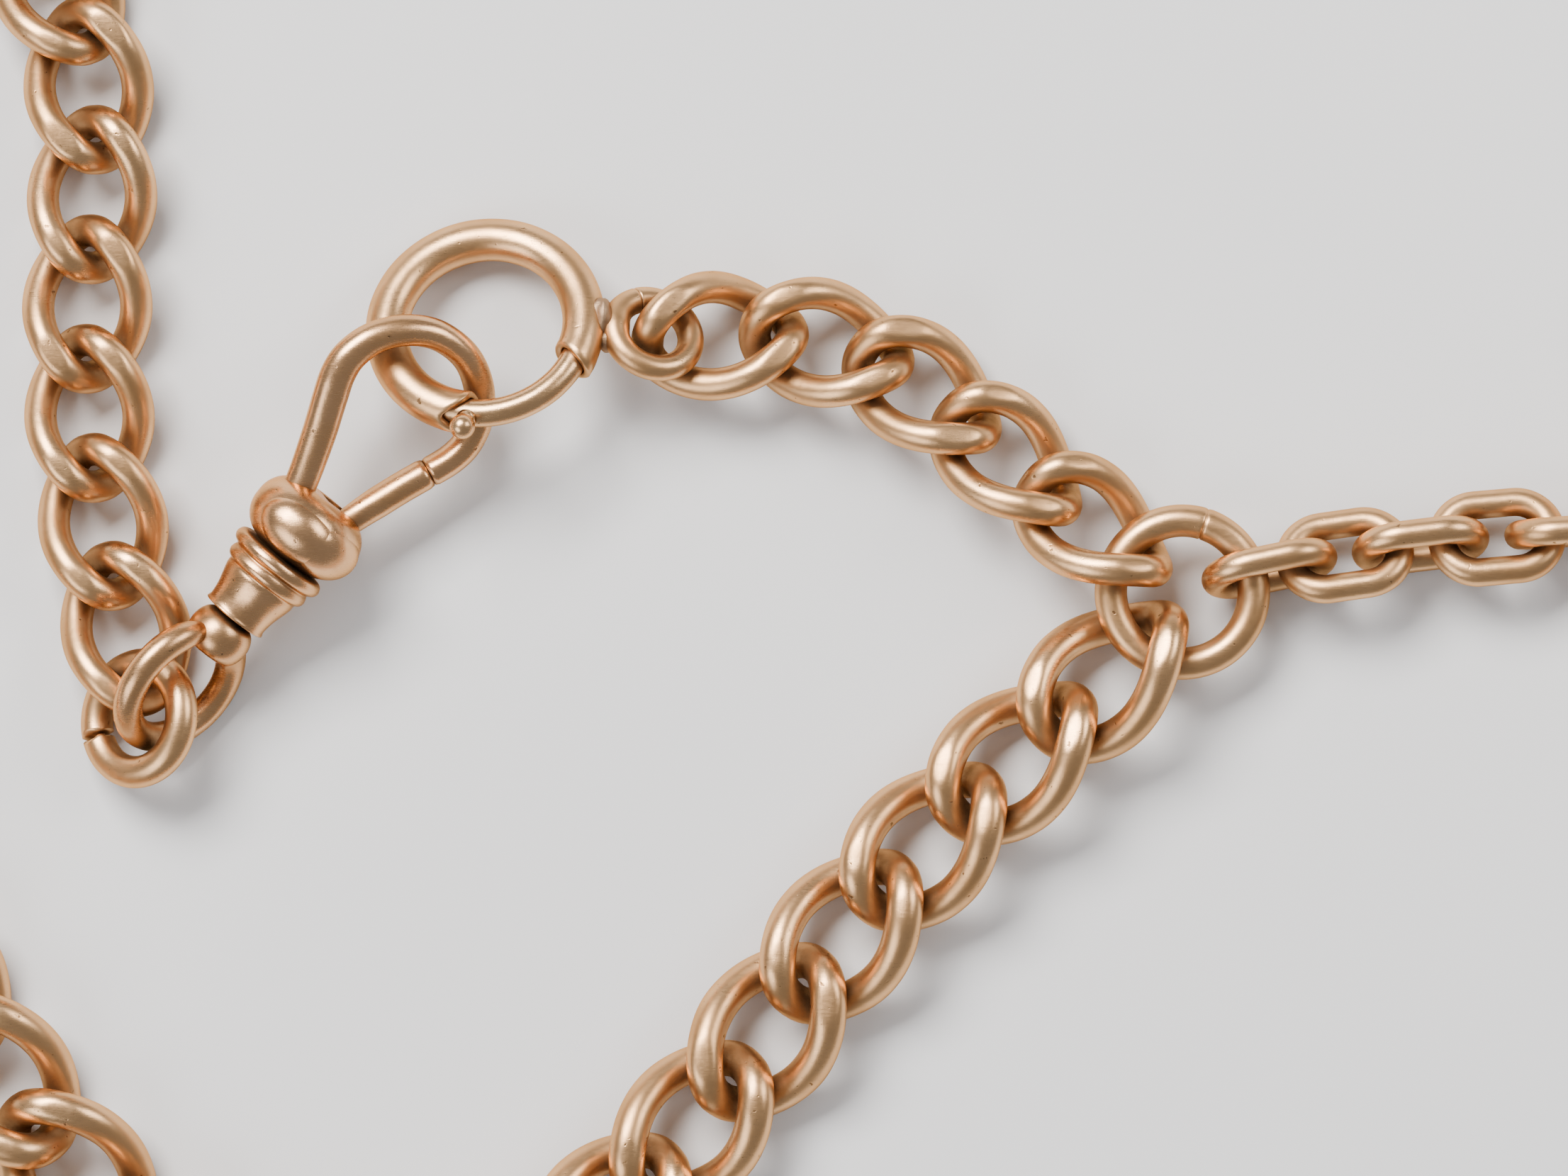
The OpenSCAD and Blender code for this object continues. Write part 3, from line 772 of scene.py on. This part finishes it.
def oval_section(across, thick, angle):
    return across * thick / math.hypot(thick * math.cos(angle), across * math.sin(angle))


def hook_radius(i, angle):
    """Broadest in the fixed limb, plain round at the crown."""
    share = i / (len(hook_line) - 1)
    across = 0.79 + 0.13 * math.exp(-((share - 0.22) / 0.20) ** 2)
    bevel = 0.07 if i == len(hook_line) - 1 else 0.0
    dents = 0.012 * noise.noise(hook_line[i] / (2.0 * MM))
    # The hook's inner side was filed: a shallow flat runs along it
    flat = 0.08 * max(0.0, math.cos(angle)) ** 3
    return (oval_section(across, 0.80, angle) * (1 + dents) - flat - bevel) * MM


made = wire("hook_wire", hook_line, sideways, hook_radius, closed=False, sides=30)
finish_piece(made, "hook_frame", CLIP_GOLD, clip_pose)


def gate_radius(i, angle):
    """Round wire at the hook, a flatter blade where it enters the body."""
    share = i / (len(gate_line) - 1)
    blade = min(1.0, max(0.0, (share - 0.45) / 0.3))
    bevel = 0.06 if i == 0 else 0.0
    return (oval_section(0.78 - 0.08 * blade, 0.78 - 0.24 * blade, angle) - bevel) * MM


made = wire("gate_wire", gate_line, sideways, gate_radius, closed=False, sides=30)
finish_piece(made, "gate", CLIP_GOLD, clip_pose)
print("hook", round(max(p.x for p in pear) + 0.8, 1), "mm from the body's foot to its crown")

# %% [markdown]
# The round body was cast with an oval boss on each side over the pin. The slot for the gate is cut
# with a boolean, because it has to be a real gap: the gate swings in it.

# %% Body of the clip
BODY_AT, BODY_HALF, BODY_RADIUS, BODY_EDGE = 0.78, 1.75, 2.95, 1.62
profile = [(-BODY_HALF, 0.02), (-BODY_HALF, BODY_RADIUS - BODY_EDGE)]
profile += [(-(BODY_HALF - BODY_EDGE) - BODY_EDGE * math.cos(t),
             BODY_RADIUS - BODY_EDGE + BODY_EDGE * math.sin(t))
            for t in (math.pi / 2 * i / 14 for i in range(1, 15))]
profile = [(BODY_AT + x, r) for x, r in profile + [(-x, r) for x, r in profile[::-1]]]
body = turned("clip_body_turned", profile, 96)
SLOT_HALF = 0.62
bpy.ops.mesh.primitive_cube_add(size=1)
cutter = bpy.context.object
cutter.scale = (4.0 * MM, 3.55 * MM, 2 * SLOT_HALF * MM)
cutter.location = (1.35 * MM, -1.62 * MM, 0)
bpy.context.view_layer.update()
cut = body.modifiers.new("slot", "BOOLEAN")
cut.operation = "DIFFERENCE"
cut.solver = "EXACT"
cut.object = cutter
bpy.context.view_layer.update()
cut_mesh = bpy.data.meshes.new_from_object(
    body.evaluated_get(bpy.context.evaluated_depsgraph_get()))
body.modifiers.clear()
body.data = cut_mesh
bpy.data.objects.remove(cutter)
finish_piece(body, "clip_body", CLIP_GOLD, clip_pose)
body.data.materials.clear()
body.data.materials.append(CLIP_GOLD)

BOSS_LEAN = math.radians(64)
for side, name in ((1, "upper"), (-1, "lower")):
    bpy.ops.mesh.primitive_uv_sphere_add(segments=64, ring_count=32, radius=1)
    boss = bpy.context.object
    boss.name = "clip_boss_" + name
    boss.data.polygons.foreach_set("use_smooth", [True] * len(boss.data.polygons))
    lie = (Matrix.Rotation(side * BOSS_LEAN - math.pi / 2, 4, "X")
           @ Matrix.Translation(((BODY_AT - 0.12) * MM, 0, side * 1.80 * MM))
           @ Matrix.Diagonal((1.50 * MM, 2.15 * MM, 1.36 * MM, 1)))
    boss.data.transform(clip_pose @ lie)
    boss.data.materials.append(CLIP_GOLD)
    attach(boss, "clip")
print("body", 2 * BODY_RADIUS, "mm across")

# %% [markdown]
# The collar behind the body is a tapered cup with two turned beads and a slightly flared foot. The swivel's
# rivet runs through it and ends in a bead, and the bow ring's two ends are soldered into the bead.

# %% Collar, rivet bead and bow ring
COLLAR_FROM, COLLAR_TO = -0.98, -4.85
profile = eased([(COLLAR_FROM, 0.81), (COLLAR_FROM, 2.20), (COLLAR_FROM - 0.14, 2.44),
                 (COLLAR_FROM - 0.42, 2.54), (COLLAR_FROM - 0.68, 2.44),
                 (COLLAR_FROM - 0.84, 2.12), (COLLAR_FROM - 1.00, 2.22),
                 (COLLAR_FROM - 1.26, 2.28), (COLLAR_FROM - 1.48, 2.18),
                 (COLLAR_FROM - 1.60, 1.96), (COLLAR_FROM - 1.90, 1.98),
                 (-3.9, 1.68), (COLLAR_TO + 0.28, 1.60), (COLLAR_TO + 0.06, 1.70),
                 (COLLAR_TO, 1.58), (COLLAR_TO, 0.81)], 0.4)[::-1]
made = turned("swivel_collar_turned", profile, 96)
finish_piece(made, "swivel_collar", CLIP_GOLD, clip_pose)

BEAD_AT, BEAD_HALF, BEAD_RADIUS = -6.0, 1.08, 1.62
profile = [(BEAD_AT - BEAD_HALF, 0.02)]
profile += [(BEAD_AT - BEAD_HALF * math.cos(t), 0.75 + (BEAD_RADIUS - 0.75) * math.sin(t) ** 0.8)
            for t in (math.pi * i / 24 for i in range(25))]
profile += [(BEAD_AT + BEAD_HALF + 0.03, 0.74), (-0.65, 0.74), (-0.65, 0.02)]
made = turned("swivel_bead_turned", profile, 64)
finish_piece(made, "swivel_rivet", CLIP_GOLD, clip_pose)

BOW_RADIUS, BOW_WIRE = 3.1, 1.45
bow_normal = Vector(spread_of(corners_of("bow_ring"))[:, 0])
if bow_normal.z < 0:
    bow_normal.negate()
bow_axes = Matrix([clip_x, bow_normal.cross(clip_x), bow_normal]).transposed()
bow_middle = clip_pose @ Vector(((BEAD_AT - BOW_RADIUS) * MM, 0, 0))
bow_pose = Matrix.Translation(bow_middle) @ bow_axes.to_4x4()
BOW_STEPS, BOW_OPENING = 120, 16
line = arc_line(BOW_RADIUS * MM, math.radians(BOW_OPENING), math.radians(360 - BOW_OPENING), BOW_STEPS)


def bow_radius(i, angle):
    """One end is drawn to a point, the other is thick with solder."""
    taper = 0.42 * math.exp(-(i / 7) ** 2)
    solder = 0.16 * math.exp(-((BOW_STEPS - i) / 7) ** 2)
    return BOW_WIRE / 2 * MM * (1 + 0.012 * noise.noise(line[i] / (1.5 * MM)) - taper + solder)


made = wire("bow_ring_wire", line, lambda i, along: line[i], bow_radius, closed=False, sides=28)
finish_piece(made, "bow_ring", CLIP_GOLD, bow_pose)
spot = bow_pose @ Vector((2.62 * MM, -1.25 * MM, 0.25 * MM))
lump("bow_ring_solder", spot, (0.70, 0.55, 0.50), 5.7, SOLDER, "swivel")
print("bow ring", 2 * BOW_RADIUS + BOW_WIRE, "mm across")

# %% [markdown]
# ## Hidden pieces
# The springs and the pin are inside, so their solids stay as they are, in plain steel and gold.

# %% Springs and pin
for node, metal in (("bolt_ring_spring", SPRING_STEEL), ("gate_spring", SPRING_STEEL),
                    ("gate_pin", CLIP_GOLD)):
    kept = frame["nodes"][node].data
    kept.materials.clear()
    kept.materials.append(metal)
